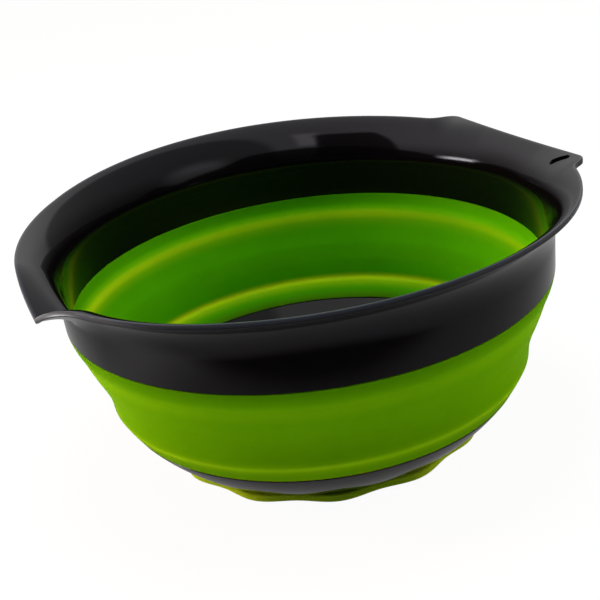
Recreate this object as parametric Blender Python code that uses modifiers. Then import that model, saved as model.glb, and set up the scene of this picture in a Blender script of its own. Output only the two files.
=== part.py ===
"""Collapsible mixing bowl, a two-shot moulding of hard plastic and soft rubber.

A hard rim frame with a handle tab (+X) and a pour spout (-X) is joined to a hard base dish by a soft
wall in three stretches. The middle stretch turns inside out when the rim is pushed down, so the two
fold lines set how far the bowl collapses. Metres, +Z up, origin under the middle of the foot.

A section is a list of (radius, height) points. Every turned piece runs down its outer side first.
"""
from math import atan, atan2, cos, hypot, pi, radians, sin

import bmesh
import bpy

# Heights of the stretches, from the table up
FOOT_THICKNESS = 0.0036
BASE_RING_HEIGHT = 0.0190
LOWER_BAND_HEIGHT = 0.0092
FOLD_HEIGHT = 0.0318          # between the two fold lines
WAIST_ABOVE_LOWER_FOLD = 0.0135
UPPER_BAND_HEIGHT = 0.0096
RIM_BAND_HEIGHT = 0.0138      # plain hard band under the flare
BELL_HEIGHT = 0.0242          # flare, up to the lip at the two sides

# Radii of the outer side
BASE_BOTTOM_RADIUS = 0.0703
BASE_TOP_RADIUS = 0.0896
LOWER_FOLD_RADIUS = 0.0952
WAIST_RADIUS = 0.0978         # the soft wall is steeper below its waist
UPPER_FOLD_RADIUS = 0.1056
BAND_BOTTOM_RADIUS = 0.1090
BELL_START_RADIUS = 0.1096
LIP_RADIUS = 0.1220

# How far each stretch stands outside the straight line between its ends
BASE_BULGE = 0.0011
LOWER_BAND_BULGE = 0.0002
FOLD_UPPER_BULGE = 0.0004
FOLD_LOWER_BULGE = -0.0004
UPPER_BAND_BULGE = 0.0004

# Walls
HARD_WALL = 0.0022
BAND_WALL = 0.0034            # hard band and soft wall where they are bonded
BASE_WALL = 0.0024
FLOOR_WALL = 0.0030
SOFT_WALL = 0.0023
FOLD_WEB = 0.0011             # soft wall at a fold line
FOLD_TAPER = 0.0030           # stretch over which it thins to the web
BAND_TAPER = 0.0060           # stretch over which it thickens to the band
TONGUE_WALL = 0.0011          # hard edge that the soft wall wraps
TONGUE_DEPTH = 0.0020
GAP = 0.0003                  # between pieces that touch
FLOOR_FILLET = 0.0090

# Lip
BELL_SWEEP = radians(75.0)    # how far the flare turns towards level
LIP_ROUND = 0.0008
LIP_DROP = 0.0028             # underside of the lip's outer edge below its top
LIP_EDGE = 0.0018             # wall of that edge
LIP_SADDLE = 0.0034           # the lip lies this much lower in line with spout and tab

# Spout
SPOUT_REACH = 0.0034          # tip outside the lip circle
SPOUT_HALF_ANGLE = radians(49.5)
SPOUT_DIP = 0.0120            # tip below the lip beside the spout
SPOUT_DIP_HALF_ANGLE = radians(16.5)
SPOUT_DIP_HOLLOW = 1.6        # above 1 the dip runs out softly into the lip

# Handle tab
TAB_SETBACK = 0.0020          # middle of its straight edge inside the lip circle
TAB_HALF_WIDTH = 0.0494       # its two corners stand outside the lip circle
TAB_FOOT_HALF_ANGLE = radians(26.1)
TAB_ROUNDING = radians(1.6)   # corners are averaged over this much to each side
LEDGE_LATENESS = 6            # how late in the flare the corners and the spout tip leave it
HOLE_LENGTH = 0.0092
HOLE_WIDTH = 0.0038
HOLE_TURN = radians(-45.0)    # its length points at the tab's corner
HOLE_EDGE_INSET = 0.0065      # hole centre inside the tab's straight edge
HOLE_SIDE_INSET = 0.0103      # hole centre inside the tab's corner

# Non-slip foot
FOOT_RADIUS = 0.0706
LOBE_COUNT = 12
LOBE_DEPTH = 0.0028
FIRST_LOBE = radians(3.5)     # angle of its middle from +X
FOOT_EDGE_ROUND = 0.0008

# Faceting
TURN_STEPS = 64
WALL_STEPS = 4                # up each curved stretch of the wall
BELL_STEPS = 8
HALVINGS = 24                 # of the search for the end of the flare
FOOT_SIDES = 120
HOLE_SIDES = 24
FINE_STEP = radians(1.25)     # round the tab's corners and the spout's tip
LEAST_STEP = radians(0.4)
SPOUT_FINE_STEPS = 9          # to each side of the tip, every second one
ROUNDING_SAMPLES = 9
SHARP_EDGE = radians(40.0)    # edges over this are shaded sharp or bevelled

# Heights of the joints between the stretches
BASE_TOP = FOOT_THICKNESS + BASE_RING_HEIGHT
LOWER_FOLD = BASE_TOP + LOWER_BAND_HEIGHT
WAIST = LOWER_FOLD + WAIST_ABOVE_LOWER_FOLD
UPPER_FOLD = LOWER_FOLD + FOLD_HEIGHT
BAND_BOTTOM = UPPER_FOLD + UPPER_BAND_HEIGHT
BELL_START = BAND_BOTTOM + RIM_BAND_HEIGHT
RIM_TOP = BELL_START + BELL_HEIGHT

CHARCOAL = (0.026, 0.024, 0.028, 1.0)
BASE_GREY = (0.040, 0.037, 0.042, 1.0)
GREEN = (0.115, 0.290, 0.002, 1.0)
FOOT_GREEN = (0.095, 0.200, 0.002, 1.0)


def clear_scene():
    for item in list(bpy.data.objects):
        bpy.data.objects.remove(item, do_unlink=True)


def new_collection(name):
    collection = bpy.data.collections.new(name)
    bpy.context.scene.collection.children.link(collection)
    return collection


def plastic(name, colour, roughness, subsurface=0.0):
    material = bpy.data.materials.new(name)
    material.use_nodes = True
    shader = material.node_tree.nodes["Principled BSDF"]
    shader.inputs["Base Color"].default_value = colour
    shader.inputs["Roughness"].default_value = roughness
    shader.inputs["Metallic"].default_value = 0.0
    shader.inputs["Subsurface Weight"].default_value = subsurface
    material.diffuse_color = colour
    return material


def add_object(name, mesh, collection, material=None):
    item = bpy.data.objects.new(name, mesh)
    collection.objects.link(item)
    if material:
        mesh.materials.append(material)
    return item


def curved(start, end, bulge, steps):
    """Points from start down to end, on a shallow curve that stands bulge outside the chord."""
    (r0, z0), (r1, z1) = start, end
    chord = hypot(r1 - r0, z1 - z0)
    out_r, out_z = (z0 - z1) / chord, (r1 - r0) / chord
    points = []
    for step in range(steps + 1):
        t = step / steps
        lift = 4.0 * bulge * t * (1.0 - t)
        points.append((r0 + (r1 - r0) * t + out_r * lift, z0 + (z1 - z0) * t + out_z * lift))
    return points


def inner_side(outer, wall_at):
    """The inner side of a wall, level with each outer point, its thickness measured square to the wall."""
    inner = []
    for index, (r, z) in enumerate(outer):
        r_above, z_above = outer[max(index - 1, 0)]
        r_below, z_below = outer[min(index + 1, len(outer) - 1)]
        slant = hypot(r_above - r_below, z_above - z_below) / (z_above - z_below)
        inner.append((r - wall_at(z) * slant, z))
    return inner


def radius_at(points, height):
    """Radius of a side that runs down at a height, carried on in a straight line past its ends."""
    index = 1
    while index < len(points) - 1 and points[index][1] > height:
        index += 1
    (r0, z0), (r1, z1) = points[index - 1], points[index]
    return r0 + (r1 - r0) * (height - z0) / (z1 - z0)


def tongue(outer, inner, root, tip, half_wall):
    """Outline of a tongue in the middle of a slanted wall, from its outer root round its tip."""
    corners = []
    for height, side in ((root, 1), (tip, 1), (tip, -1), (root, -1)):
        middle = (radius_at(outer, height) + radius_at(inner, height)) / 2.0
        corners.append((middle + side * half_wall, height))
    return corners


def fillet(before, corner, after, radius, steps):
    """Points of the arc that rounds one corner of a section."""
    to_before = (before[0] - corner[0], before[1] - corner[1])
    to_after = (after[0] - corner[0], after[1] - corner[1])
    length_before, length_after = hypot(*to_before), hypot(*to_after)
    u = (to_before[0] / length_before, to_before[1] / length_before)
    v = (to_after[0] / length_after, to_after[1] / length_after)
    half_cos = (0.5 * (1.0 + u[0] * v[0] + u[1] * v[1])) ** 0.5
    half_sin = (1.0 - half_cos ** 2) ** 0.5
    setback = min(radius * half_cos / half_sin, 0.9 * length_before, 0.9 * length_after)
    points = []
    for step in range(steps + 1):
        t = step / steps
        a, b = setback * (1.0 - t) ** 2, setback * t ** 2
        points.append((corner[0] + u[0] * a + v[0] * b, corner[1] + u[1] * a + v[1] * b))
    return points


def turned(name, section, closed, collection, material):
    """Turn a section about the Z axis."""
    mesh = bpy.data.meshes.new(name)
    edges = [(index, index + 1) for index in range(len(section) - 1)]
    if closed:
        edges.append((len(section) - 1, 0))
    mesh.from_pydata([(r, 0.0, z) for r, z in section], edges, [])
    item = add_object(name, mesh, collection, material)
    screw = item.modifiers.new("turn", "SCREW")
    screw.axis = "Z"
    screw.angle = 2.0 * pi
    screw.steps = TURN_STEPS
    screw.render_steps = TURN_STEPS
    screw.use_merge_vertices = True
    screw.merge_threshold = 0.00001
    screw.use_smooth_shade = True
    return item


def soft_wall_at(height):
    """Thickness of the soft wall: thin at the fold lines, thick where it meets the hard band."""
    to_fold = min(abs(height - UPPER_FOLD), abs(height - LOWER_FOLD))
    web_share = max(0.0, 1.0 - to_fold / FOLD_TAPER)
    band_share = max(0.0, 1.0 - (BAND_BOTTOM - height) / BAND_TAPER)
    return SOFT_WALL + (FOLD_WEB - SOFT_WALL) * web_share + (BAND_WALL - SOFT_WALL) * band_share


def upper_band_sides():
    outer = curved((BAND_BOTTOM_RADIUS, BAND_BOTTOM - GAP),
                   (UPPER_FOLD_RADIUS, UPPER_FOLD + GAP / 2), UPPER_BAND_BULGE, WALL_STEPS)
    return outer, inner_side(outer, soft_wall_at)


def fold_sides():
    waist = (WAIST_RADIUS, WAIST)
    outer = curved((UPPER_FOLD_RADIUS, UPPER_FOLD - GAP / 2), waist, FOLD_UPPER_BULGE, WALL_STEPS)
    outer += curved(waist, (LOWER_FOLD_RADIUS, LOWER_FOLD + GAP / 2), FOLD_LOWER_BULGE, WALL_STEPS)[1:]
    return outer, inner_side(outer, soft_wall_at)


def lower_band_sides():
    outer = curved((LOWER_FOLD_RADIUS, LOWER_FOLD - GAP / 2),
                   (BASE_TOP_RADIUS, BASE_TOP + GAP), LOWER_BAND_BULGE, WALL_STEPS)
    return outer, inner_side(outer, soft_wall_at)


def make_upper_wall_band(collection, material):
    outer, inner = upper_band_sides()
    groove = tongue(outer, inner, outer[0][1], BAND_BOTTOM - TONGUE_DEPTH - GAP, TONGUE_WALL / 2 + GAP)
    return turned("upper_wall_band", outer + inner[::-1] + groove[::-1], True, collection, material)


def make_fold_wall(collection, material):
    outer, inner = fold_sides()
    return turned("fold_wall", outer + inner[::-1], True, collection, material)


def make_lower_wall_band(collection, material):
    outer, inner = lower_band_sides()
    groove = tongue(outer, inner, outer[-1][1], BASE_TOP + TONGUE_DEPTH + GAP, TONGUE_WALL / 2 + GAP)
    return turned("lower_wall_band", outer + groove + inner[::-1], True, collection, material)


def make_base_dish(collection, material):
    """Floor and conical ring in one, with a tongue on its edge for the soft wall."""
    outer = curved((BASE_TOP_RADIUS, BASE_TOP), (BASE_BOTTOM_RADIUS, FOOT_THICKNESS), BASE_BULGE, WALL_STEPS)
    floor = FOOT_THICKNESS + FLOOR_WALL
    inner = [point for point in inner_side(outer, lambda height: BASE_WALL) if point[1] > floor]
    corner = (radius_at(inner, floor), floor)
    floor_arc = fillet((0.0, floor), corner, inner[0], FLOOR_FILLET, WALL_STEPS)
    inner = [point for point in inner if point[1] > floor_arc[-1][1]]
    edge = tongue(*lower_band_sides(), BASE_TOP, BASE_TOP + TONGUE_DEPTH, TONGUE_WALL / 2)
    section = [(0.0, floor)] + floor_arc + inner[::-1] + edge[::-1] + outer + [(0.0, FOOT_THICKNESS)]
    return turned("base_dish", section, False, collection, material)


def tab_radius(angle):
    """Lip radius of the sharp-cornered tab: straight edge, slanted sides, then the lip circle."""
    turn = abs(angle)
    edge = LIP_RADIUS - TAB_SETBACK
    corner_angle = atan(TAB_HALF_WIDTH / edge)
    if turn <= corner_angle:
        return edge / cos(turn)
    if turn >= TAB_FOOT_HALF_ANGLE:
        return LIP_RADIUS
    foot_x, foot_y = LIP_RADIUS * cos(TAB_FOOT_HALF_ANGLE), LIP_RADIUS * sin(TAB_FOOT_HALF_ANGLE)
    side_x, side_y = edge - foot_x, TAB_HALF_WIDTH - foot_y
    return (foot_x * side_y - foot_y * side_x) / (cos(turn) * side_y - sin(turn) * side_x)


def lip_point(angle):
    """Radius and height of the lip at an angle from +X, between -pi and pi."""
    spacing = 2.0 * TAB_ROUNDING / (ROUNDING_SAMPLES - 1)
    offsets = [spacing * index - TAB_ROUNDING for index in range(ROUNDING_SAMPLES)]
    radius = sum(tab_radius(angle + offset) for offset in offsets) / ROUNDING_SAMPLES
    height = RIM_TOP - LIP_SADDLE * cos(angle) ** 2
    from_spout = pi - abs(angle)
    if from_spout < SPOUT_HALF_ANGLE:
        radius += SPOUT_REACH * (1.0 - from_spout / SPOUT_HALF_ANGLE)
    if from_spout < SPOUT_DIP_HALF_ANGLE:
        height -= SPOUT_DIP * (1.0 - from_spout / SPOUT_DIP_HALF_ANGLE) ** SPOUT_DIP_HOLLOW
    return radius, height


def bell_point(lip, share, outside):
    """Point at a share of the flare's sweep, on its upper side or at a depth outside that side.

    Where the lip stands outside its circle, the flare first follows the circle's and then runs on
    as a nearly level ledge.
    """
    lip_radius, lip_height = lip
    start_radius = BELL_START_RADIUS - HARD_WALL
    ledge = max(0.0, lip_radius - LIP_RADIUS)
    reach = (lip_radius - ledge - start_radius) / (1.0 - cos(BELL_SWEEP))
    rise = (lip_height - BELL_START) / sin(BELL_SWEEP)
    t = BELL_SWEEP * share
    r = start_radius + reach * (1.0 - cos(t)) + ledge * share ** LEDGE_LATENESS
    z = BELL_START + rise * sin(t)
    along_r = reach * sin(t) + ledge * LEDGE_LATENESS * share ** (LEDGE_LATENESS - 1) / BELL_SWEEP
    along_z = rise * cos(t)
    length = hypot(along_r, along_z)
    return r + outside * along_z / length, z - outside * along_r / length


def bell_side(lip, end_radius, outside):
    """Points of one side of the flare from its start to a radius."""
    low, high = 0.0, 1.0
    for _ in range(HALVINGS):
        middle = (low + high) / 2.0
        if bell_point(lip, middle, outside)[0] < end_radius:
            low = middle
        else:
            high = middle
    return [bell_point(lip, low * step / BELL_STEPS, outside) for step in range(BELL_STEPS + 1)]


def rim_section(angle):
    """Closed section of the rim frame: plain band below, flare and lip above."""
    lip = lip_point(angle)
    lip_radius, lip_height = lip
    edge_inside = lip_radius - LIP_EDGE
    upper = bell_side(lip, lip_radius - LIP_ROUND, 0.0)
    upper[-1] = (lip_radius - LIP_ROUND, lip_height)
    under = bell_side(lip, edge_inside, HARD_WALL)
    edge = [(lip_radius, lip_height - LIP_ROUND), (lip_radius, lip_height - LIP_DROP),
            (edge_inside, lip_height - LIP_DROP)]
    band_tongue = tongue(*upper_band_sides(), BAND_BOTTOM, BAND_BOTTOM - TONGUE_DEPTH, TONGUE_WALL / 2)
    band = [(BAND_BOTTOM_RADIUS, BAND_BOTTOM)] + band_tongue + [(BAND_BOTTOM_RADIUS - BAND_WALL, BAND_BOTTOM)]
    return edge + under[::-1] + band + upper


def rim_angles():
    """Even steps round the bowl, with fine steps at the tab's corners and the spout's tip."""
    even = 2.0 * pi / TURN_STEPS
    angles = {round(even * step - pi, 6) for step in range(TURN_STEPS)}
    corner_angle = atan(TAB_HALF_WIDTH / (LIP_RADIUS - TAB_SETBACK))
    start, end = corner_angle - 2.0 * TAB_ROUNDING, TAB_FOOT_HALF_ANGLE + 2.0 * TAB_ROUNDING
    count = int((end - start) / FINE_STEP)
    for step in range(count + 1):
        turn = start + (end - start) * step / count
        angles.update((round(turn, 6), round(-turn, 6)))
    for step in range(1, SPOUT_FINE_STEPS + 1, 2):
        angles.update((round(pi - step * FINE_STEP, 6), round(step * FINE_STEP - pi, 6)))
    ordered = sorted(angles)
    kept = [ordered[0]]
    for angle in ordered[1:]:
        if angle - kept[-1] > LEAST_STEP:
            kept.append(angle)
    return kept


def make_rim_frame(collection, cutters, material):
    """Loft of unlike sections round the bowl, because the tab and the spout change the flare."""
    frame = bmesh.new()
    rings = []
    for angle in rim_angles():
        points = [(r * cos(angle), r * sin(angle), z) for r, z in rim_section(angle)]
        rings.append([frame.verts.new(point) for point in points])
    for index, ring in enumerate(rings):
        following = rings[(index + 1) % len(rings)]
        for corner in range(len(ring)):
            after = (corner + 1) % len(ring)
            frame.faces.new((ring[corner], ring[after], following[after], following[corner]))
    bmesh.ops.recalc_face_normals(frame, faces=frame.faces)
    mesh = bpy.data.meshes.new("rim_frame")
    frame.to_mesh(mesh)
    frame.free()
    mesh.shade_smooth()
    mesh.set_sharp_from_angle(angle=SHARP_EDGE)
    item = add_object("rim_frame", mesh, collection, material)
    cut = item.modifiers.new("hanging_hole", "BOOLEAN")
    cut.operation = "DIFFERENCE"
    cut.solver = "EXACT"
    cut.object = make_hole_cutter(cutters)
    return item


def make_hole_cutter(cutters):
    """Upright slot with round ends, turned so that its length points at the corner of the tab."""
    slot = bmesh.new()
    bmesh.ops.create_cone(slot, cap_ends=True, segments=HOLE_SIDES, radius1=HOLE_WIDTH / 2,
                          radius2=HOLE_WIDTH / 2, depth=BELL_HEIGHT)
    half_straight = (HOLE_LENGTH - HOLE_WIDTH) / 2
    for vert in slot.verts:
        if abs(vert.co.x) > HOLE_WIDTH / 100:
            vert.co.x += half_straight if vert.co.x > 0 else -half_straight
    mesh = bpy.data.meshes.new("hole_cutter")
    slot.to_mesh(mesh)
    slot.free()
    cutter = add_object("hole_cutter", mesh, cutters)
    cutter.location.x = LIP_RADIUS - TAB_SETBACK - HOLE_EDGE_INSET
    cutter.location.y = HOLE_SIDE_INSET - TAB_HALF_WIDTH
    cutter.location.z = RIM_TOP - LIP_SADDLE
    cutter.rotation_euler.z = HOLE_TURN
    cutter.hide_render = True
    cutter.display_type = "WIRE"
    return cutter


def make_non_slip_foot(collection, material):
    """Flat pad whose outline swells into lobes."""
    pad = bmesh.new()
    thickness = FOOT_THICKNESS - GAP
    bmesh.ops.create_cone(pad, cap_ends=True, segments=FOOT_SIDES, radius1=FOOT_RADIUS,
                          radius2=FOOT_RADIUS, depth=thickness)
    for vert in pad.verts:
        angle = atan2(vert.co.y, vert.co.x)
        radius = FOOT_RADIUS + LOBE_DEPTH / 2 * cos(LOBE_COUNT * (angle - FIRST_LOBE))
        vert.co.x *= radius / FOOT_RADIUS
        vert.co.y *= radius / FOOT_RADIUS
    mesh = bpy.data.meshes.new("non_slip_foot")
    pad.to_mesh(mesh)
    pad.free()
    mesh.shade_smooth()
    mesh.set_sharp_from_angle(angle=SHARP_EDGE)
    item = add_object("non_slip_foot", mesh, collection, material)
    item.location.z = thickness / 2
    rounding = item.modifiers.new("edge", "BEVEL")
    rounding.width = FOOT_EDGE_ROUND
    rounding.segments = 1
    rounding.limit_method = "ANGLE"
    rounding.angle_limit = SHARP_EDGE
    return item


def main():
    clear_scene()
    bowl = new_collection("collapsible_mixing_bowl")
    cutters = new_collection("cutters")
    hard = plastic("charcoal_plastic", CHARCOAL, 0.22)
    base = plastic("base_plastic", BASE_GREY, 0.30)
    soft = plastic("green_rubber", GREEN, 0.45, 0.15)
    foot = plastic("foot_rubber", FOOT_GREEN, 0.60)

    base_dish = make_base_dish(bowl, base)
    for item in (
        make_non_slip_foot(bowl, foot),
        make_lower_wall_band(bowl, soft),
        make_fold_wall(bowl, soft),
    ):
        item.parent = base_dish

    rim_slide = bpy.data.objects.new("rim_slide", None)
    bowl.objects.link(rim_slide)
    for item in (make_rim_frame(bowl, cutters, hard), make_upper_wall_band(bowl, soft)):
        item.parent = rim_slide


main()
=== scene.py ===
"""Collapsible mixing bowl: the shapes that are seen, their finishes, the studio and the camera.

Metres, +Z up, origin under the middle of the foot. +X is the handle tab, -X the pour spout.
A section is a list of (radius, height, rounding) corners. It runs down the outer side first.
"""
from math import atan, atan2, cos, hypot, pi, radians, sin

import bmesh
import bpy
from mathutils import Euler, Matrix, Vector


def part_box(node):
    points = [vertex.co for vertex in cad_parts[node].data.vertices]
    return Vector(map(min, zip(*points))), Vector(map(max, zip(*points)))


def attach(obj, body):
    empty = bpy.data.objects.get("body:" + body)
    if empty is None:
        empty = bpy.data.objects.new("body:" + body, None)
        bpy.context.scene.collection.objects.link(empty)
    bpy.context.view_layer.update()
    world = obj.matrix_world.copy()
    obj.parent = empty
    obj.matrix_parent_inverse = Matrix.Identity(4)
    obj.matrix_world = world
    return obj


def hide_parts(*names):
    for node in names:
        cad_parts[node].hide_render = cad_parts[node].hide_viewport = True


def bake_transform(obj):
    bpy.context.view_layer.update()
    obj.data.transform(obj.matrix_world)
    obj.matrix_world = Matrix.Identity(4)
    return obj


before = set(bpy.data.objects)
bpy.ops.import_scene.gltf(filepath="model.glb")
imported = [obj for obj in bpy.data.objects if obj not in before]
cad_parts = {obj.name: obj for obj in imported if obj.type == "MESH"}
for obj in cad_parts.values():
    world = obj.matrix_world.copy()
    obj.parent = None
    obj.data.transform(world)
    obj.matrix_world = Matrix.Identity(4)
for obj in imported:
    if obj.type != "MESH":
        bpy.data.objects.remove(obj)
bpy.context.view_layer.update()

GAP = 0.0003                  # between pieces that touch
WELD = 0.000001               # points nearer than this are one

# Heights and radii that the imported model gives
RIM_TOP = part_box("rim_frame")[1].z
LIP_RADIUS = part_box("rim_frame")[1].y
BAND_BOTTOM_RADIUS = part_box("upper_wall_band")[1].y
BAND_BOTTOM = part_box("upper_wall_band")[1].z + GAP
UPPER_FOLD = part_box("upper_wall_band")[0].z - GAP / 2
UPPER_FOLD_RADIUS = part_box("fold_wall")[1].y
LOWER_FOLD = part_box("lower_wall_band")[1].z + GAP / 2
LOWER_FOLD_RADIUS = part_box("lower_wall_band")[1].y
BASE_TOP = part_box("lower_wall_band")[0].z - GAP
BASE_TOP_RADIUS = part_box("base_dish")[1].y
FOOT_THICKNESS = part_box("base_dish")[0].z

# Stretches of the walls: where each ends and how far it bulges from straight
BELL_START = BAND_BOTTOM + 0.0138
BELL_START_RADIUS = BAND_BOTTOM_RADIUS + 0.0006
WAIST = LOWER_FOLD + 0.0135
WAIST_RADIUS = 0.0978
WAIST_EASE = 0.0060           # half the stretch that is averaged at the waist itself
BASE_BOTTOM_RADIUS = 0.0703
BASE_BULGE = 0.0011
LOWER_BAND_BULGE = 0.0002
FOLD_UPPER_BULGE = 0.0004
FOLD_LOWER_BULGE = -0.0004
UPPER_BAND_BULGE = 0.0004

# Wall thicknesses
HARD_WALL = 0.0022
BAND_WALL = 0.0034
BASE_WALL = 0.0024
FLOOR_WALL = 0.0030
SOFT_WALL = 0.0023
BAND_TAPER = 0.0060           # height over which the soft wall thickens to the hard band
TONGUE_WALL = 0.0011
TONGUE_DEPTH = 0.0020
FLOOR_FILLET = 0.0090

# Lip, spout and handle tab
BELL_SWEEP = radians(75.0)
LIP_DROP = 0.0028
LIP_EDGE = 0.0018
LIP_SADDLE = 0.0034
LIP_BEAD = 0.0016             # rounding of the lip's upper edge
LIP_LOWER_ROUND = 0.0007
LIP_INNER_ROUND = 0.0004
SPOUT_REACH = 0.0034
SPOUT_HALF_ANGLE = radians(49.5)
SPOUT_DIP = 0.0120
SPOUT_DIP_HALF_ANGLE = radians(16.5)
SPOUT_DIP_HOLLOW = 1.6
TAB_SETBACK = 0.0020          # middle of its straight edge inside the lip circle
TAB_HALF_WIDTH = 0.0494       # its two corners stand outside the lip circle
TAB_FOOT_HALF_ANGLE = radians(26.1)
TAB_ROUNDING = radians(1.6)
LEDGE_LATENESS = 6            # how late in the flare the corners and the spout tip leave it
SLOT_LENGTH = 0.0092
SLOT_WIDTH = 0.0038
SLOT_TURN = radians(-45.0)
SLOT_EDGE_INSET = 0.0065
SLOT_SIDE_INSET = 0.0103
SLOT_CUT_HEIGHT = 0.04

# Non-slip foot
FOOT_RADIUS = 0.0706
LOBE_COUNT = 12
LOBE_DEPTH = 0.0028
FIRST_LOBE = radians(3.5)
FOOT_EDGE_ROUND = 0.0010

# Small roundings where the moulds part
CREASE_ROUND = 0.00025

# Fineness
STEPS_ROUND = 288
BELL_STEPS = 28
HALVINGS = 24                 # of the search for the end of the flare
ROUNDING_STEPS = 5
ROUNDING_REACH = 0.48         # share of an edge that a rounding may take up
SOFT_STEP = 0.0009            # height between points of the soft wall
BASE_STEPS = 12
AVERAGED = 9                  # samples in each running average
SLOT_SIDES = 40
CREASE_ANGLE = radians(38.0)

# Camera, as the photograph was taken
CAMERA_PLACE = (-0.26266, -0.50826, 0.31567)
CAMERA_TURN = (65.946, 7.193, -30.042)
CAMERA_LENS = 83.45
SENSOR_WIDTH = 36.0
NEAREST_SEEN = 0.01
CAMERA_BEARING = atan2(CAMERA_PLACE[1], CAMERA_PLACE[0])

# Studio
FLOOR_REACH = 4.0
FLOOR_GLOW = 0.96             # share of the floor's seen colour that is plain white
WALL_LEVEL = 0.8
AMBIENT = 0.30
LIGHT_WIDTH = 0.60
LIGHT_AIM = (0.0, 0.0, 0.06)


# Sections

def rounded(corners, closed=True):
    """Replace each corner that has a rounding by a short arc."""
    points = []
    count = len(corners)
    for index, (r, z, rounding) in enumerate(corners):
        at_end = not closed and index in (0, count - 1)
        if rounding == 0.0 or at_end:
            points.append((r, z))
            continue
        before, after = corners[index - 1], corners[(index + 1) % count]
        to_before, to_after = (before[0] - r, before[1] - z), (after[0] - r, after[1] - z)
        length_before, length_after = hypot(*to_before), hypot(*to_after)
        u = (to_before[0] / length_before, to_before[1] / length_before)
        v = (to_after[0] / length_after, to_after[1] / length_after)
        half_cos = max(0.0, 0.5 * (1.0 + u[0] * v[0] + u[1] * v[1])) ** 0.5
        half_sin = max(1e-9, 1.0 - half_cos ** 2) ** 0.5
        setback = min(rounding * half_cos / half_sin, ROUNDING_REACH * min(length_before, length_after))
        for step in range(ROUNDING_STEPS + 1):
            t = step / ROUNDING_STEPS
            a, b = setback * (1.0 - t) ** 2, setback * t ** 2
            points.append((r + u[0] * a + v[0] * b, z + u[1] * a + v[1] * b))
    return points


def curved(start, end, bulge, steps):
    """Points from start down to end on a shallow curve that stands bulge outside the chord."""
    (r0, z0), (r1, z1) = start, end
    chord = hypot(r1 - r0, z1 - z0)
    out_r, out_z = (z0 - z1) / chord, (r1 - r0) / chord
    points = []
    for step in range(steps + 1):
        t = step / steps
        lift = 4.0 * bulge * t * (1.0 - t)
        points.append((r0 + (r1 - r0) * t + out_r * lift, z0 + (z1 - z0) * t + out_z * lift))
    return points


def inner_side(outer, wall_at):
    """The inner side of a wall, level with each outer point."""
    inner = []
    for index, (r, z) in enumerate(outer):
        r_above, z_above = outer[max(index - 1, 0)]
        r_below, z_below = outer[min(index + 1, len(outer) - 1)]
        slant = hypot(r_above - r_below, z_above - z_below) / (z_above - z_below)
        inner.append((r - wall_at(z) * slant, z))
    return inner


def radius_at(points, height):
    """Radius of a side at a height. Its points run down, and its ends are carried on straight."""
    index = 1
    while index < len(points) - 1 and points[index][1] > height:
        index += 1
    (r0, z0), (r1, z1) = points[index - 1], points[index]
    return r0 + (r1 - r0) * (height - z0) / (z1 - z0)


def tongue(outer, inner, root, tip, half_wall):
    """Corners of a tongue in the middle of a slanted wall, from its outer root round its tip."""
    corners = []
    for height, side in ((root, 1), (tip, 1), (tip, -1), (root, -1)):
        middle = (radius_at(outer, height) + radius_at(inner, height)) / 2.0
        corners.append((middle + side * half_wall, height, 0.0))
    return corners


def soft_wall_at(height):
    """Thickness of the soft wall, greater where it meets the hard band."""
    band_share = max(0.0, 1.0 - (BAND_BOTTOM - height) / BAND_TAPER)
    return SOFT_WALL + (BAND_WALL - SOFT_WALL) * band_share


def smooth(share):
    """The share, limited to 0 and 1 and eased at both."""
    share = min(max(share, 0.0), 1.0)
    return share * share * (3.0 - 2.0 * share)


def soft_sides():
    """Outer and inner side of the whole soft wall, from the hard band down to the base."""
    upper_fold, lower_fold = (UPPER_FOLD_RADIUS, UPPER_FOLD), (LOWER_FOLD_RADIUS, LOWER_FOLD)
    waist = (WAIST_RADIUS, WAIST)
    outer = []
    for start, end, bulge in (
        ((BAND_BOTTOM_RADIUS, BAND_BOTTOM - GAP), upper_fold, UPPER_BAND_BULGE),
        (upper_fold, waist, FOLD_UPPER_BULGE),
        (waist, lower_fold, FOLD_LOWER_BULGE),
        (lower_fold, (BASE_TOP_RADIUS, BASE_TOP + GAP), LOWER_BAND_BULGE),
    ):
        steps = max(2, round((start[1] - end[1]) / SOFT_STEP))
        outer += curved(start, end, bulge, steps)[1 if outer else 0:]
    outer = [(waist_eased(outer, z), z) for _, z in outer]
    inner = inner_side(outer, soft_wall_at)
    return outer, inner


def waist_eased(side, height):
    """Radius of the side at a height, averaged over a stretch that shrinks away from the waist."""
    reach = WAIST_EASE * smooth(1.0 - abs(height - WAIST) / (2.0 * WAIST_EASE))
    offsets = [reach * (2.0 * index / (AVERAGED - 1) - 1.0) for index in range(AVERAGED)]
    return sum(radius_at(side, height + offset) for offset in offsets) / AVERAGED


def soft_section():
    """The soft wall, with a groove in each edge for the hard pieces' tongues."""
    outer, inner = soft_sides()
    hard_tip = BAND_BOTTOM - TONGUE_DEPTH - GAP
    base_tip = BASE_TOP + TONGUE_DEPTH + GAP
    upper_groove = tongue(outer, inner, outer[0][1], hard_tip, TONGUE_WALL / 2 + GAP)
    lower_groove = tongue(outer, inner, outer[-1][1], base_tip, TONGUE_WALL / 2 + GAP)
    outer_corners = [(r, z, 0.0) for r, z in outer]
    inner_corners = [(r, z, 0.0) for r, z in inner]
    for corners in (outer_corners, inner_corners):
        for index in (0, -1):
            r, z, _ = corners[index]
            corners[index] = (r, z, CREASE_ROUND)
    return rounded(outer_corners + lower_groove + inner_corners[::-1] + upper_groove[::-1])


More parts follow.
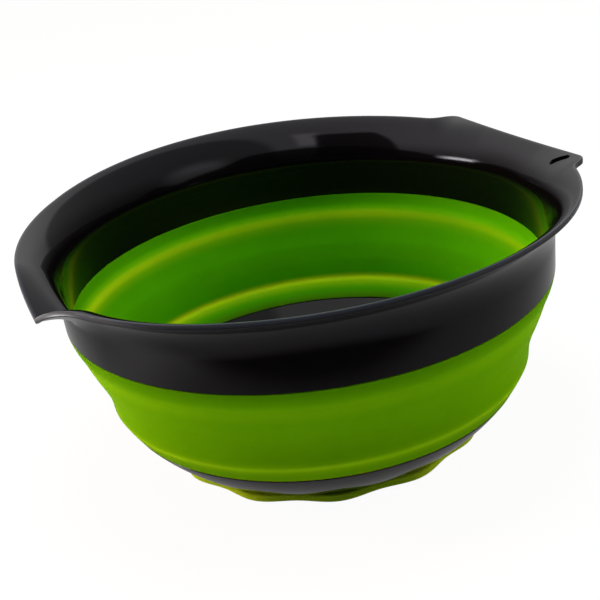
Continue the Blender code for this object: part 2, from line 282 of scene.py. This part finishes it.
def base_section():
    """Floor and conical ring in one, open at the axis, with a tongue on its edge."""
    outer = curved((BASE_TOP_RADIUS, BASE_TOP), (BASE_BOTTOM_RADIUS, FOOT_THICKNESS), BASE_BULGE,
                   BASE_STEPS)
    floor = FOOT_THICKNESS + FLOOR_WALL
    inner = [point for point in inner_side(outer, lambda height: BASE_WALL) if point[1] > floor]
    corner_radius = radius_at(inner, floor)
    edge = tongue(*soft_sides(), BASE_TOP, BASE_TOP + TONGUE_DEPTH, TONGUE_WALL / 2)
    section = [(0.0, floor, 0.0), (corner_radius, floor, FLOOR_FILLET)]
    top_r, top_z = inner[0]
    section += [(top_r, top_z, CREASE_ROUND)]
    section += edge[::-1]
    section += [(r, z, 0.0) for r, z in outer]
    section[-len(outer)] = (*outer[0], CREASE_ROUND)
    section[-1] = (*outer[-1], CREASE_ROUND)
    section += [(0.0, FOOT_THICKNESS, 0.0)]
    return rounded(section, closed=False)


def foot_section():
    """Half of a disc, from the middle of its top round to the middle of its underside."""
    top = FOOT_THICKNESS - GAP
    return rounded([
        (0.0, top, 0.0),
        (FOOT_RADIUS, top, FOOT_EDGE_ROUND),
        (FOOT_RADIUS, 0.0, FOOT_EDGE_ROUND),
        (0.0, 0.0, 0.0),
    ], closed=False)


# Node trees

class Nodes:
    """Shorthands for wiring a node tree."""

    def __init__(self, tree):
        self.tree = tree

    def node(self, kind, **settings):
        item = self.tree.nodes.new(kind)
        for key, value in settings.items():
            setattr(item, key, value)
        return item

    def link(self, source, target):
        self.tree.links.new(source, target)

    def math(self, operation, first, second=None):
        """One sum. Each value is a number or an output."""
        item = self.node("ShaderNodeMath", operation=operation)
        for socket, value in zip(item.inputs, (first, second)):
            if isinstance(value, (int, float)):
                socket.default_value = value
            elif value is not None:
                self.link(value, socket)
        return item.outputs[0]

    def spread(self, value, low, high, out_low, out_high, kind="LINEAR"):
        """Carry a value from one range to another, and hold it outside."""
        item = self.node("ShaderNodeMapRange", interpolation_type=kind)
        self.link(value, item.inputs["Value"])
        for label, number in (
            ("From Min", low), ("From Max", high), ("To Min", out_low), ("To Max", out_high),
        ):
            item.inputs[label].default_value = number
        return item.outputs["Result"]

    def eased(self, value, low, high, out_low=0.0, out_high=1.0):
        return self.spread(value, low, high, out_low, out_high, "SMOOTHSTEP")

    def band(self, value, centre, width, core=0.0):
        """1 within core of a value's centre, falling smoothly to 0 at width to each side."""
        distance = self.math("ABSOLUTE", self.math("SUBTRACT", value, centre))
        return self.eased(distance, core, width, 1.0, 0.0)

    def product(self, first, *others):
        for value in others:
            first = self.math("MULTIPLY", first, value)
        return first

    def along(self, vector, bearing, elevation=0.0):
        """How far a vector goes one way, the bearing turned from the camera's."""
        turn, rise = CAMERA_BEARING + radians(bearing), radians(elevation)
        item = self.node("ShaderNodeVectorMath", operation="DOT_PRODUCT")
        self.link(vector, item.inputs[0])
        item.inputs[1].default_value = (cos(rise) * cos(turn), cos(rise) * sin(turn), sin(rise))
        return item.outputs["Value"]


# Turned pieces, by Geometry Nodes

def turning_tree():
    """Turns a section about the Z axis. The outline may swell into lobes."""
    tree = bpy.data.node_groups.new("turn_a_section", "GeometryNodeTree")
    tree.interface.new_socket("Section", in_out="INPUT", socket_type="NodeSocketGeometry")
    for label, kind, value in (
        ("Guide Radius", "NodeSocketFloat", 0.1),
        ("Steps Round", "NodeSocketInt", STEPS_ROUND),
        ("Lobe Count", "NodeSocketFloat", 0.0),
        ("Lobe Depth", "NodeSocketFloat", 0.0),
        ("First Lobe", "NodeSocketFloat", 0.0),
        ("Finish", "NodeSocketMaterial", None),
    ):
        socket = tree.interface.new_socket(label, in_out="INPUT", socket_type=kind)
        if value is not None:
            socket.default_value = value
    tree.interface.new_socket("Piece", in_out="OUTPUT", socket_type="NodeSocketGeometry")
    wiring = Nodes(tree)
    node, link, math = wiring.node, wiring.link, wiring.math

    start = node("NodeGroupInput")
    inputs = start.outputs
    profile = node("GeometryNodeMeshToCurve")
    circle = node("GeometryNodeCurvePrimitiveCircle")
    sweep = node("GeometryNodeCurveToMesh")
    merge = node("GeometryNodeMergeByDistance")
    merge.inputs["Distance"].default_value = WELD
    link(inputs["Section"], profile.inputs["Mesh"])
    link(inputs["Guide Radius"], circle.inputs["Radius"])
    link(inputs["Steps Round"], circle.inputs["Resolution"])
    link(circle.outputs["Curve"], sweep.inputs["Curve"])
    link(profile.outputs["Curve"], sweep.inputs["Profile Curve"])
    link(sweep.outputs["Mesh"], merge.inputs["Geometry"])

    place = node("GeometryNodeInputPosition")
    axes = node("ShaderNodeSeparateXYZ")
    link(place.outputs[0], axes.inputs[0])
    bearing = math("ARCTAN2", axes.outputs["Y"], axes.outputs["X"])
    from_first = math("SUBTRACT", bearing, inputs["First Lobe"])
    wave = math("COSINE", math("MULTIPLY", from_first, inputs["Lobe Count"]))
    swell = math("MULTIPLY", wave, math("MULTIPLY", inputs["Lobe Depth"], 0.5))
    share = math("DIVIDE", swell, inputs["Guide Radius"])
    flat = node("ShaderNodeCombineXYZ")
    link(axes.outputs["X"], flat.inputs["X"])
    link(axes.outputs["Y"], flat.inputs["Y"])
    offset = node("ShaderNodeVectorMath", operation="SCALE")
    link(flat.outputs[0], offset.inputs[0])
    link(share, offset.inputs["Scale"])
    lobes = node("GeometryNodeSetPosition")
    link(merge.outputs["Geometry"], lobes.inputs["Geometry"])
    link(offset.outputs[0], lobes.inputs["Offset"])

    realise = node("GeometryNodeRealizeInstances")
    finish = node("GeometryNodeSetMaterial")
    end = node("NodeGroupOutput")
    link(lobes.outputs["Geometry"], realise.inputs["Geometry"])
    link(realise.outputs["Geometry"], finish.inputs["Geometry"])
    link(inputs["Finish"], finish.inputs["Material"])
    link(finish.outputs["Geometry"], end.inputs["Piece"])
    return tree


def as_plain_mesh(item, name):
    """Replace an object's modifiers by the mesh that they make."""
    evaluated = item.evaluated_get(bpy.context.evaluated_depsgraph_get())
    mesh = bpy.data.meshes.new_from_object(evaluated)
    mesh.name = name
    item.modifiers.clear()
    item.data = mesh
    return item


def face_outwards(mesh):
    """Weld a closed mesh and turn its faces outwards."""
    solid = bmesh.new()
    solid.from_mesh(mesh)
    bmesh.ops.remove_doubles(solid, verts=solid.verts, dist=WELD)
    if solid.calc_volume(signed=True) < 0.0:
        bmesh.ops.reverse_faces(solid, faces=solid.faces)
    solid.to_mesh(mesh)
    solid.free()


def turned(name, section, closed, tree, finish, guide, lobes=(0, 0.0, 0.0)):
    """Turn a section. The lobes of its outline are their number, depth and first angle."""
    edges = [(index, index + 1) for index in range(len(section) - 1)]
    if closed:
        edges.append((len(section) - 1, 0))
    profile = bpy.data.meshes.new(name + "_section")
    profile.from_pydata([(r - guide, -z, 0.0) for r, z in section], edges, [])
    item = bpy.data.objects.new(name, profile)
    bpy.context.scene.collection.objects.link(item)
    sockets = {entry.name: entry.identifier for entry in tree.interface.items_tree}
    turning = item.modifiers.new("turning", "NODES")
    turning.node_group = tree
    turning[sockets["Guide Radius"]] = guide
    turning[sockets["Steps Round"]] = STEPS_ROUND
    turning[sockets["Lobe Count"]] = float(lobes[0])
    turning[sockets["Lobe Depth"]] = lobes[1]
    turning[sockets["First Lobe"]] = lobes[2]
    turning[sockets["Finish"]] = finish
    as_plain_mesh(item, name)
    face_outwards(item.data)
    item.data.shade_smooth()
    item.data.set_sharp_from_angle(angle=CREASE_ANGLE)
    return item


# Rim frame, lofted because the tab and the spout change its section

def tab_radius(angle):
    """Lip radius of the sharp-cornered tab: straight edge, slanted sides, then the lip circle."""
    turn = abs(angle)
    edge = LIP_RADIUS - TAB_SETBACK
    corner_angle = atan(TAB_HALF_WIDTH / edge)
    if turn <= corner_angle:
        return edge / cos(turn)
    if turn >= TAB_FOOT_HALF_ANGLE:
        return LIP_RADIUS
    foot_x, foot_y = LIP_RADIUS * cos(TAB_FOOT_HALF_ANGLE), LIP_RADIUS * sin(TAB_FOOT_HALF_ANGLE)
    side_x, side_y = edge - foot_x, TAB_HALF_WIDTH - foot_y
    return (foot_x * side_y - foot_y * side_x) / (cos(turn) * side_y - sin(turn) * side_x)


def lip_point(angle):
    """Radius and height of the lip at an angle from +X, between -pi and pi."""
    spacing = 2.0 * TAB_ROUNDING / (AVERAGED - 1)
    offsets = [spacing * index - TAB_ROUNDING for index in range(AVERAGED)]
    radius = sum(tab_radius(angle + offset) for offset in offsets) / AVERAGED
    height = RIM_TOP - LIP_SADDLE * cos(angle) ** 2
    from_spout = pi - abs(angle)
    if from_spout < SPOUT_HALF_ANGLE:
        radius += SPOUT_REACH * (1.0 - from_spout / SPOUT_HALF_ANGLE)
    if from_spout < SPOUT_DIP_HALF_ANGLE:
        height -= SPOUT_DIP * (1.0 - from_spout / SPOUT_DIP_HALF_ANGLE) ** SPOUT_DIP_HOLLOW
    return radius, height


def bell_point(lip, share, outside):
    """Point at a share of the flare's sweep. Outside its circle the lip runs on as a level ledge."""
    lip_radius, lip_height = lip
    start_radius = BELL_START_RADIUS - HARD_WALL
    ledge = max(0.0, lip_radius - LIP_RADIUS)
    reach = (lip_radius - ledge - start_radius) / (1.0 - cos(BELL_SWEEP))
    rise = (lip_height - BELL_START) / sin(BELL_SWEEP)
    t = BELL_SWEEP * share
    r = start_radius + reach * (1.0 - cos(t)) + ledge * share ** LEDGE_LATENESS
    z = BELL_START + rise * sin(t)
    along_r = reach * sin(t) + ledge * LEDGE_LATENESS * share ** (LEDGE_LATENESS - 1) / BELL_SWEEP
    along_z = rise * cos(t)
    length = hypot(along_r, along_z)
    return r + outside * along_z / length, z - outside * along_r / length


def bell_side(lip, end_radius, outside):
    """Corners of one side of the flare from its start to a radius."""
    low, high = 0.0, 1.0
    for _ in range(HALVINGS):
        middle = (low + high) / 2.0
        if bell_point(lip, middle, outside)[0] < end_radius:
            low = middle
        else:
            high = middle
    return [(*bell_point(lip, low * step / BELL_STEPS, outside), 0.0) for step in range(BELL_STEPS + 1)]


def rim_corners(angle):
    """One closed section with the same number of corners at every angle."""
    lip = lip_point(angle)
    lip_radius, lip_height = lip
    edge_inside = lip_radius - LIP_EDGE
    upper = bell_side(lip, lip_radius - LIP_BEAD, 0.0)
    under = bell_side(lip, edge_inside - CREASE_ROUND, HARD_WALL)
    edge = [
        (lip_radius, lip_height, LIP_BEAD),
        (lip_radius, lip_height - LIP_DROP, LIP_LOWER_ROUND),
        (edge_inside, lip_height - LIP_DROP, LIP_INNER_ROUND),
        (edge_inside, under[-1][1], LIP_INNER_ROUND),
    ]
    tongue_corners = tongue(*soft_sides(), BAND_BOTTOM, BAND_BOTTOM - TONGUE_DEPTH, TONGUE_WALL / 2)
    band = [(BAND_BOTTOM_RADIUS, BAND_BOTTOM, CREASE_ROUND)]
    band += tongue_corners
    band += [(BAND_BOTTOM_RADIUS - BAND_WALL, BAND_BOTTOM, CREASE_ROUND)]
    return edge + under[::-1] + band + upper


def rim_frame_mesh():
    """The rim's sections, one at each angle, joined all round."""
    loft = bmesh.new()
    rings = []
    for step in range(STEPS_ROUND * 2):
        angle = pi * step / STEPS_ROUND - pi
        points = [(r * cos(angle), r * sin(angle), z) for r, z in rounded(rim_corners(angle))]
        rings.append([loft.verts.new(point) for point in points])
    for index, ring in enumerate(rings):
        following = rings[(index + 1) % len(rings)]
        for corner in range(len(ring)):
            after = (corner + 1) % len(ring)
            loft.faces.new((ring[corner], ring[after], following[after], following[corner]))
    mesh = bpy.data.meshes.new("rim_shell")
    loft.to_mesh(mesh)
    loft.free()
    face_outwards(mesh)
    return mesh


def slot_cutter():
    """Upright slot with round ends, its length turned to point at the tab's corner."""
    slot = bmesh.new()
    bmesh.ops.create_cone(slot, cap_ends=True, segments=SLOT_SIDES, radius1=SLOT_WIDTH / 2,
                          radius2=SLOT_WIDTH / 2, depth=SLOT_CUT_HEIGHT)
    half_straight = (SLOT_LENGTH - SLOT_WIDTH) / 2
    centre = Vector((LIP_RADIUS - TAB_SETBACK - SLOT_EDGE_INSET, SLOT_SIDE_INSET - TAB_HALF_WIDTH,
                     RIM_TOP - LIP_SADDLE))
    turn = Matrix.Rotation(SLOT_TURN, 3, "Z")
    for vert in slot.verts:
        if abs(vert.co.x) > WELD:
            vert.co.x += half_straight if vert.co.x > 0 else -half_straight
        vert.co = turn @ vert.co + centre
    mesh = bpy.data.meshes.new("slot_cutter")
    slot.to_mesh(mesh)
    slot.free()
    cutter = bpy.data.objects.new("slot_cutter", mesh)
    bpy.context.scene.collection.objects.link(cutter)
    return cutter


def make_rim_shell(finish):
    """The whole rim frame, with the slot cut through its tab."""
    item = bpy.data.objects.new("rim_shell", rim_frame_mesh())
    bpy.context.scene.collection.objects.link(item)
    cutter = slot_cutter()
    cut = item.modifiers.new("hanging_slot", "BOOLEAN")
    cut.operation = "DIFFERENCE"
    cut.solver = "EXACT"
    cut.object = cutter
    as_plain_mesh(item, "rim_shell")
    bpy.data.objects.remove(cutter, do_unlink=True)
    item.data.materials.clear()
    item.data.materials.append(finish)
    for face in item.data.polygons:
        face.material_index = 0
    face_outwards(item.data)
    item.data.shade_smooth()
    item.data.set_sharp_from_angle(angle=CREASE_ANGLE)
    keep_lip_edge(item)
    return item


def keep_lip_edge(item):
    """Store how near each point is to the top of the lip's outer edge, which is less polished and carries a
    painted highlight.
    """
    edge = item.data.attributes.new("lip_edge", "FLOAT", "POINT")
    for index, vert in enumerate(item.data.vertices):
        lip_radius, lip_height = lip_point(atan2(vert.co.y, vert.co.x))
        inset, below = lip_radius - hypot(vert.co.x, vert.co.y), lip_height - vert.co.z
        edge.data[index].value = smooth(1.0 - inset / LIP_BEAD) * smooth((LIP_DROP - below) / LIP_EDGE)


# Finishes

class Finish(Nodes):
    """A node material."""

    def __init__(self, name, colour, **settings):
        self.material = bpy.data.materials.new(name)
        self.material.use_nodes = True
        super().__init__(self.material.node_tree)
        self.shader = self.tree.nodes["Principled BSDF"]
        self.shader.inputs["Base Color"].default_value = (*colour, 1.0)
        self.material.diffuse_color = (*colour, 1.0)
        for label, value in settings.items():
            self.shader.inputs[label.replace("_", " ")].default_value = value

    def place(self):
        """The point in the object's own coordinates."""
        return self.node("ShaderNodeTexCoord").outputs["Object"]

    def stored(self, name, output="Fac"):
        """A value that is stored on the mesh."""
        return self.node("ShaderNodeAttribute", attribute_name=name).outputs[output]

    def axes(self, place):
        item = self.node("ShaderNodeSeparateXYZ")
        self.link(place, item.inputs[0])
        return item.outputs

    def noise(self, place, scale, detail=3.0, roughness=0.5):
        item = self.node("ShaderNodeTexNoise")
        self.link(place, item.inputs["Vector"])
        item.inputs["Scale"].default_value = scale
        item.inputs["Detail"].default_value = detail
        item.inputs["Roughness"].default_value = roughness
        return item.outputs["Fac"]

    def mixed(self, share, first, second):
        """Mix two colours, each a plain colour or a socket."""
        item = self.node("ShaderNodeMix", data_type="RGBA")
        self.link(share, item.inputs["Factor"])
        for value, label in ((first, "A"), (second, "B")):
            target = [socket for socket in item.inputs if socket.name == label and socket.type == "RGBA"][0]
            if isinstance(value, tuple):
                target.default_value = (*value, 1.0)
            else:
                self.link(value, target)
        return [socket for socket in item.outputs if socket.type == "RGBA"][0]

    def bump(self, height, distance, strength=1.0, after=None):
        item = self.node("ShaderNodeBump")
        item.inputs["Strength"].default_value = strength
        item.inputs["Distance"].default_value = distance
        self.link(height, item.inputs["Height"])
        if after is not None:
            self.link(after, item.inputs["Normal"])
        return item.outputs["Normal"]

    def haze(self, place, scale, low, high):
        """Roughness that varies in fine clouds from low to high."""
        return self.spread(self.noise(place, scale, 5.0, 0.6), 0.3, 0.7, low, high)

    def relief(self, place, sink_scale, sink_depth, grain_scale, grain_depth):
        """The shallow unevenness of a moulding, and a fine grain on it."""
        sink = self.bump(self.noise(place, sink_scale, 2.0), sink_depth, 0.5)
        self.use(self.bump(self.noise(place, grain_scale, 3.0), grain_depth, 0.6, sink), "Normal")

    def use(self, output, label):
        self.link(output, self.shader.inputs[label])


def glossy_charcoal():
    """Hard plastic from a polished mould, faintly uneven, with a very fine haze, and a painted highlight in
    lighter blue grey along the top of the lip's outer edge.
    """
    finish = Finish("glossy_charcoal", (0.0016, 0.0014, 0.0019), Specular_IOR_Level=0.21,
                    Specular_Tint=(0.97, 0.93, 1.0, 1.0))
    place = finish.place()
    cloud = finish.noise(place, 38.0, 4.0)
    plain = finish.mixed(cloud, (0.0011, 0.0010, 0.0013), (0.0020, 0.0018, 0.0024))
    # Painted highlight: the top of the lip's outer edge is a lighter blue grey. It is also rougher there.
    edge = finish.stored("lip_edge")
    finish.use(finish.mixed(edge, plain, (0.0250, 0.0320, 0.0440)), "Base Color")
    haze = finish.haze(place, 260.0, 0.06, 0.10)
    finish.use(finish.math("ADD", haze, finish.math("MULTIPLY", edge, 0.10)), "Roughness")
    finish.relief(place, 55.0, 0.00012, 1400.0, 0.000012)
    return finish.material


def base_charcoal():
    """The same plastic, with the slightly duller face of a stripped core."""
    finish = Finish("base_charcoal", (0.0045, 0.0042, 0.0050), Specular_IOR_Level=0.21)
    place = finish.place()
    cloud = finish.noise(place, 45.0, 4.0)
    finish.use(finish.mixed(cloud, (0.0036, 0.0034, 0.0040), (0.0056, 0.0053, 0.0062)), "Base Color")
    finish.use(finish.haze(place, 300.0, 0.05, 0.08), "Roughness")
    finish.relief(place, 60.0, 0.00010, 1500.0, 0.000012)
    return finish.material


def green_rubber():
    """Translucent soft rubber. Painted glow makes lighter lines at its folds, and painted light and shade
    colour its two sides.
    """
    finish = Finish(
        "green_rubber", (0.080, 0.280, 0.001), Subsurface_Weight=0.70, Subsurface_Radius=(1.0, 0.70, 0.02),
        Subsurface_Scale=0.0026, IOR=1.02, Specular_Tint=(0.35, 1.0, 0.02, 1.0),
    )
    place = finish.stored("rest_place", "Vector")
    inside = finish.stored("inner_side")
    axes = finish.axes(place)
    height, towards_tab = axes["Z"], axes["X"]
    cloud = finish.noise(place, 42.0, 4.0)

    outer_body = finish.mixed(cloud, (0.060, 0.205, 0.0004), (0.072, 0.233, 0.0006))
    # Painted shade under the hard band: the outer side darkens towards it.
    shade_under_band = finish.spread(height, UPPER_FOLD, BAND_BOTTOM - TONGUE_DEPTH, 0.0, 0.50)
    outer_body = finish.mixed(shade_under_band, outer_body, (0.022, 0.105, 0.0004))

    # Painted light: the inner side is given its own, greener colour.
    inner_body = finish.mixed(cloud, (0.041, 0.240, 0.0006), (0.052, 0.274, 0.0010))
    # Painted light lifts the inner side above each fold. The side is also darker and greyer towards the
    # base, and painted shade darkens it on the spout's side.
    lift_over_lower_fold = finish.product(finish.spread(height, LOWER_FOLD, LOWER_FOLD + 0.0120, 1.0, 0.0),
                               finish.spread(height, LOWER_FOLD - 0.0010, LOWER_FOLD + 0.0020, 0.0, 1.0))
    for share, colour in (
        (finish.eased(height, UPPER_FOLD, UPPER_FOLD + 0.0050), (0.058, 0.330, 0.0010)),
        (lift_over_lower_fold, (0.064, 0.430, 0.0008)),
        (finish.spread(height, BASE_TOP, BASE_TOP + 0.0045, 0.75, 0.0), (0.034, 0.040, 0.0030)),
        (finish.spread(towards_tab, -0.100, -0.040, 0.60, 0.0), (0.030, 0.150, 0.0006)),
    ):
        inner_body = finish.mixed(share, inner_body, colour)

    def glow_lines(*lines):
        """Each is the middle's height, the half width and the strength."""
        shares = [finish.product(finish.band(height, middle, width), strength)
                  for middle, width, strength in lines]
        share = shares.pop()
        while shares:
            share = finish.math("ADD", share, shares.pop())
        return share

    # Painted glow: lighter lines at the folds, where light shines through the rubber.
    inside_glow = glow_lines(
        (UPPER_FOLD - 0.0004, 0.0030, 0.25),
        (UPPER_FOLD - 0.0010, 0.0064, 0.17),
        (LOWER_FOLD + 0.0007, 0.0024, 0.55),
        (LOWER_FOLD - 0.0006, 0.0046, 0.38),
    )
    outside_glow = glow_lines(
        (UPPER_FOLD - 0.0020, 0.0064, 0.07),
        (LOWER_FOLD - 0.0010, 0.0024, 0.16),
        (LOWER_FOLD - 0.0014, 0.0052, 0.12),
    )
    # The painted glow inside is weaker towards the tab.
    inside_glow = finish.product(inside_glow, inside, finish.eased(towards_tab, 0.070, 0.100, 1.0, 0.50))
    outside_glow = finish.product(outside_glow, finish.math("SUBTRACT", 1.0, inside))
    glow_colour = finish.mixed(inside, (0.310, 0.640, 0.008), (0.480, 0.680, 0.008))
    body = finish.mixed(inside, outer_body, inner_body)
    line = finish.math("ADD", inside_glow, outside_glow)
    finish.use(finish.mixed(line, body, glow_colour), "Base Color")
    finish.use(finish.haze(place, 320.0, 0.36, 0.50), "Roughness")
    finish.relief(place, 70.0, 0.00018, 1700.0, 0.00002)
    return finish.material


def foot_rubber():
    """Matt olive rubber with a fine grain, and painted light that makes it paler towards the edge on the
    table.
    """
    finish = Finish(
        "foot_rubber", (0.180, 0.260, 0.020), Subsurface_Weight=0.35, Subsurface_Radius=(1.0, 0.8, 0.05),
        Subsurface_Scale=0.0018, IOR=1.03, Specular_Tint=(0.6, 1.0, 0.15, 1.0),
    )
    place = finish.place()
    # Painted light: paler towards the edge on the table.
    edge = finish.eased(finish.axes(place)["Z"], 0.0, FOOT_THICKNESS * 0.6, 1.0, 0.0)
    cloud = finish.noise(place, 50.0, 4.0)
    body = finish.mixed(cloud, (0.185, 0.350, 0.012), (0.215, 0.405, 0.016))
    finish.use(finish.mixed(edge, body, (0.270, 0.520, 0.012)), "Base Color")
    finish.use(finish.haze(place, 350.0, 0.52, 0.68), "Roughness")
    finish.use(finish.bump(finish.noise(place, 1800.0, 4.0), 0.00004, 0.7), "Normal")
    return finish.material


# The bowl

def keep_rest_place(item):
    """Store each point's place at rest, so that patterns stay on a wall that folds, and its side."""
    mesh = item.data
    outer, _ = soft_sides()
    place = mesh.attributes.new("rest_place", "FLOAT_VECTOR", "POINT")
    for index, vert in enumerate(mesh.vertices):
        place.data[index].vector = vert.co
    side = mesh.attributes.new("inner_side", "FLOAT", "POINT")
    for index, vert in enumerate(mesh.vertices):
        depth = radius_at(outer, vert.co.z) - hypot(vert.co.x, vert.co.y)
        side.data[index].value = 1.0 if depth > SOFT_WALL / 2 else 0.0


def make_bowl():
    tree = turning_tree()
    rim = make_rim_shell(glossy_charcoal())
    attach(rim, "rim")
    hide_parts("rim_frame")

    soft = turned("soft_wall", soft_section(), True, tree, green_rubber(), UPPER_FOLD_RADIUS)
    keep_rest_place(soft)
    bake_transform(soft)
    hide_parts("upper_wall_band", "fold_wall", "lower_wall_band")

    dish = turned("base_shell", base_section(), False, tree, base_charcoal(), BASE_TOP_RADIUS)
    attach(dish, "base")
    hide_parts("base_dish")

    foot = turned("scalloped_foot", foot_section(), False, tree, foot_rubber(), FOOT_RADIUS,
                  (LOBE_COUNT, LOBE_DEPTH, FIRST_LOBE))
    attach(foot, "base")
    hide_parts("non_slip_foot")


# Studio

def grey(level):
    return (level, level, level)


def make_floor():
    """White paper. The bowl sees it reflected as parts of different brightness, as if by cards."""
    corners = [(x * FLOOR_REACH, y * FLOOR_REACH, 0.0) for x, y in ((-1, -1), (1, -1), (1, 1), (-1, 1))]
    mesh = bpy.data.meshes.new("floor")
    mesh.from_pydata(corners, [], [(0, 1, 2, 3)])
    item = bpy.data.objects.new("floor", mesh)
    bpy.context.scene.collection.objects.link(item)

    paper = Finish("white_paper", grey(0.85), Roughness=0.9, Specular_IOR_Level=0.0)
    place = paper.place()
    forward, left = paper.along(place, 0.0), paper.along(place, -90.0)
    from_foot = paper.node("ShaderNodeVectorMath", operation="LENGTH")
    paper.link(place, from_foot.inputs[0])
    near_left = paper.product(paper.eased(left, 0.12, 0.24), paper.eased(forward, 0.0, 0.12))
    far_left = paper.eased(left, 0.25, 0.33)
    far_right = paper.eased(left, -0.32, -0.26, 1.0, 0.0)
    front = paper.eased(forward, 0.16, 0.24)
    glint = paper.product(paper.band(left, 0.312, 0.034), paper.band(forward, -0.005, 0.062))
    shadow = paper.eased(from_foot.outputs["Value"], 0.080, 0.150, 1.0, 0.0)
    reflected = grey(0.42)
    for share, level in (
        (near_left, 0.95), (far_left, 1.4), (far_right, 0.20), (front, 0.02), (glint, 9.0), (shadow, 0.26),
    ):
        reflected = paper.mixed(share, reflected, grey(level))

    paths = paper.node("ShaderNodeLightPath").outputs
    glow = paper.node("ShaderNodeEmission")
    paper.link(paper.mixed(paths["Is Camera Ray"], reflected, grey(1.0)), glow.inputs["Color"])
    other = paper.math("MAXIMUM", paths["Is Glossy Ray"], paths["Is Transmission Ray"])
    share = paper.math("MAXIMUM", paper.product(paths["Is Camera Ray"], FLOOR_GLOW), other)
    both = paper.node("ShaderNodeMixShader")
    paper.link(share, both.inputs[0])
    paper.link(paper.shader.outputs[0], both.inputs[1])
    paper.link(glow.outputs[0], both.inputs[2])
    paper.link(both.outputs[0], paper.tree.nodes["Material Output"].inputs["Surface"])
    mesh.materials.append(paper.material)


def make_world():
    """Studio walls. Reflections see a dark front, a brighter left side and a lamp low on the left."""
    world = bpy.data.worlds.new("studio")
    bpy.context.scene.world = world
    world.use_nodes = True
    world.node_tree.nodes.clear()
    walls = Nodes(world.node_tree)
    math, eased, band, product = walls.math, walls.eased, walls.band, walls.product
    paths = walls.node("ShaderNodeLightPath").outputs
    direction = walls.node("ShaderNodeTexCoord").outputs["Generated"]
    height = walls.along(direction, 0.0, 90.0)
    forward, left, right = (walls.along(direction, bearing) for bearing in (0.0, -90.0, 80.0))

    # Walls, darker on the right and black below a line in front
    ahead = eased(forward, 0.30, 0.56)
    sheen = product(eased(right, 0.55, 0.75), eased(height, 0.35, 0.65, 1.0, 0.0), ahead)
    over_front = math("SUBTRACT", height, product(forward, 0.55))
    over_front = math("ADD", over_front, product(eased(left, -0.60, -0.30, 0.20, 0.0), ahead))
    level = product(
        eased(height, 0.05, 0.60, 0.45, 1.65),
        eased(right, 0.24, 0.33, 1.0, 0.42),
        eased(left, 0.10, 0.70, 1.0, 1.30),
        math("ADD", product(sheen, 2.6), 1.0),
        eased(over_front, -0.04, 0.04, 0.10, 1.0),
    )

    # A bright strip with a dark panel on its left, above the front
    strip = product(
        band(walls.along(direction, -98.0), 0.0, 0.085, 0.045), 1.9,
        eased(forward, 0.1, 0.3), eased(height, 0.50, 0.62), eased(height, 0.86, 0.94, 1.0, 0.0),
    )
    panel = product(
        eased(walls.along(direction, -102.5), -0.01, 0.02), eased(walls.along(direction, 36.0), -0.02, 0.02),
        eased(height, 0.82, 0.88, 1.0, 0.0),
    )
    level = product(math("ADD", level, strip), math("SUBTRACT", 1.0, product(panel, 0.93)))

    # The lamp
    lamp = product(
        band(walls.along(direction, 3.0), 0.0, 0.26, 0.06), 26.0,
        band(height, 0.115, 0.07, 0.02), eased(left, 0.3, 0.6),
    )
    level = product(math("ADD", level, lamp), WALL_LEVEL)

    shown = walls.node("ShaderNodeBackground")
    shown.inputs["Color"].default_value = (*grey(1.0), 1.0)
    walls.link(math("MAXIMUM", level, paths["Is Camera Ray"]), shown.inputs["Strength"])
    ambient = walls.node("ShaderNodeBackground")
    ambient.inputs["Strength"].default_value = AMBIENT
    share = math("MAXIMUM", paths["Is Camera Ray"], paths["Is Glossy Ray"])
    share = math("MAXIMUM", share, paths["Is Transmission Ray"])
    both = walls.node("ShaderNodeMixShader")
    walls.link(share, both.inputs[0])
    walls.link(ambient.outputs[0], both.inputs[1])
    walls.link(shown.outputs[0], both.inputs[2])
    walls.link(both.outputs[0], walls.node("ShaderNodeOutputWorld").inputs["Surface"])


def soft_light(name, turn, distance, height, power, colour=(1.0, 1.0, 1.0)):
    """A soft box. Its bearing is turned from the camera's, positive to the picture's right."""
    bearing = CAMERA_BEARING + radians(turn)
    light = bpy.data.lights.new(name, "AREA")
    light.shape = "DISK"
    light.size = LIGHT_WIDTH
    light.energy = power
    light.color = colour
    item = bpy.data.objects.new(name, light)
    bpy.context.scene.collection.objects.link(item)
    item.location = (distance * cos(bearing), distance * sin(bearing), height)
    item.visible_glossy = False
    item.rotation_euler = (Vector(LIGHT_AIM) - item.location).to_track_quat("-Z", "Y").to_euler()


def make_studio():
    make_floor()
    make_world()
    soft_light("top_box", turn=180.0, distance=0.10, height=1.30, power=21.0)
    soft_light("left_box", turn=-100.0, distance=0.95, height=0.35, power=20.5, colour=(1.0, 0.55, 0.32))
    soft_light("right_box", turn=95.0, distance=1.05, height=0.40, power=9.7, colour=(1.0, 0.64, 0.38))
    lens = bpy.data.cameras.new("camera")
    lens.lens = CAMERA_LENS
    lens.sensor_width = SENSOR_WIDTH
    lens.clip_start = NEAREST_SEEN
    camera = bpy.data.objects.new("camera", lens)
    bpy.context.scene.collection.objects.link(camera)
    turn = Euler([radians(angle) for angle in CAMERA_TURN], "XYZ").to_matrix().to_4x4()
    camera.matrix_world = Matrix.Translation(CAMERA_PLACE) @ turn
    bpy.context.scene.camera = camera
    bpy.context.scene.view_settings.view_transform = "Standard"


make_bowl()
make_studio()
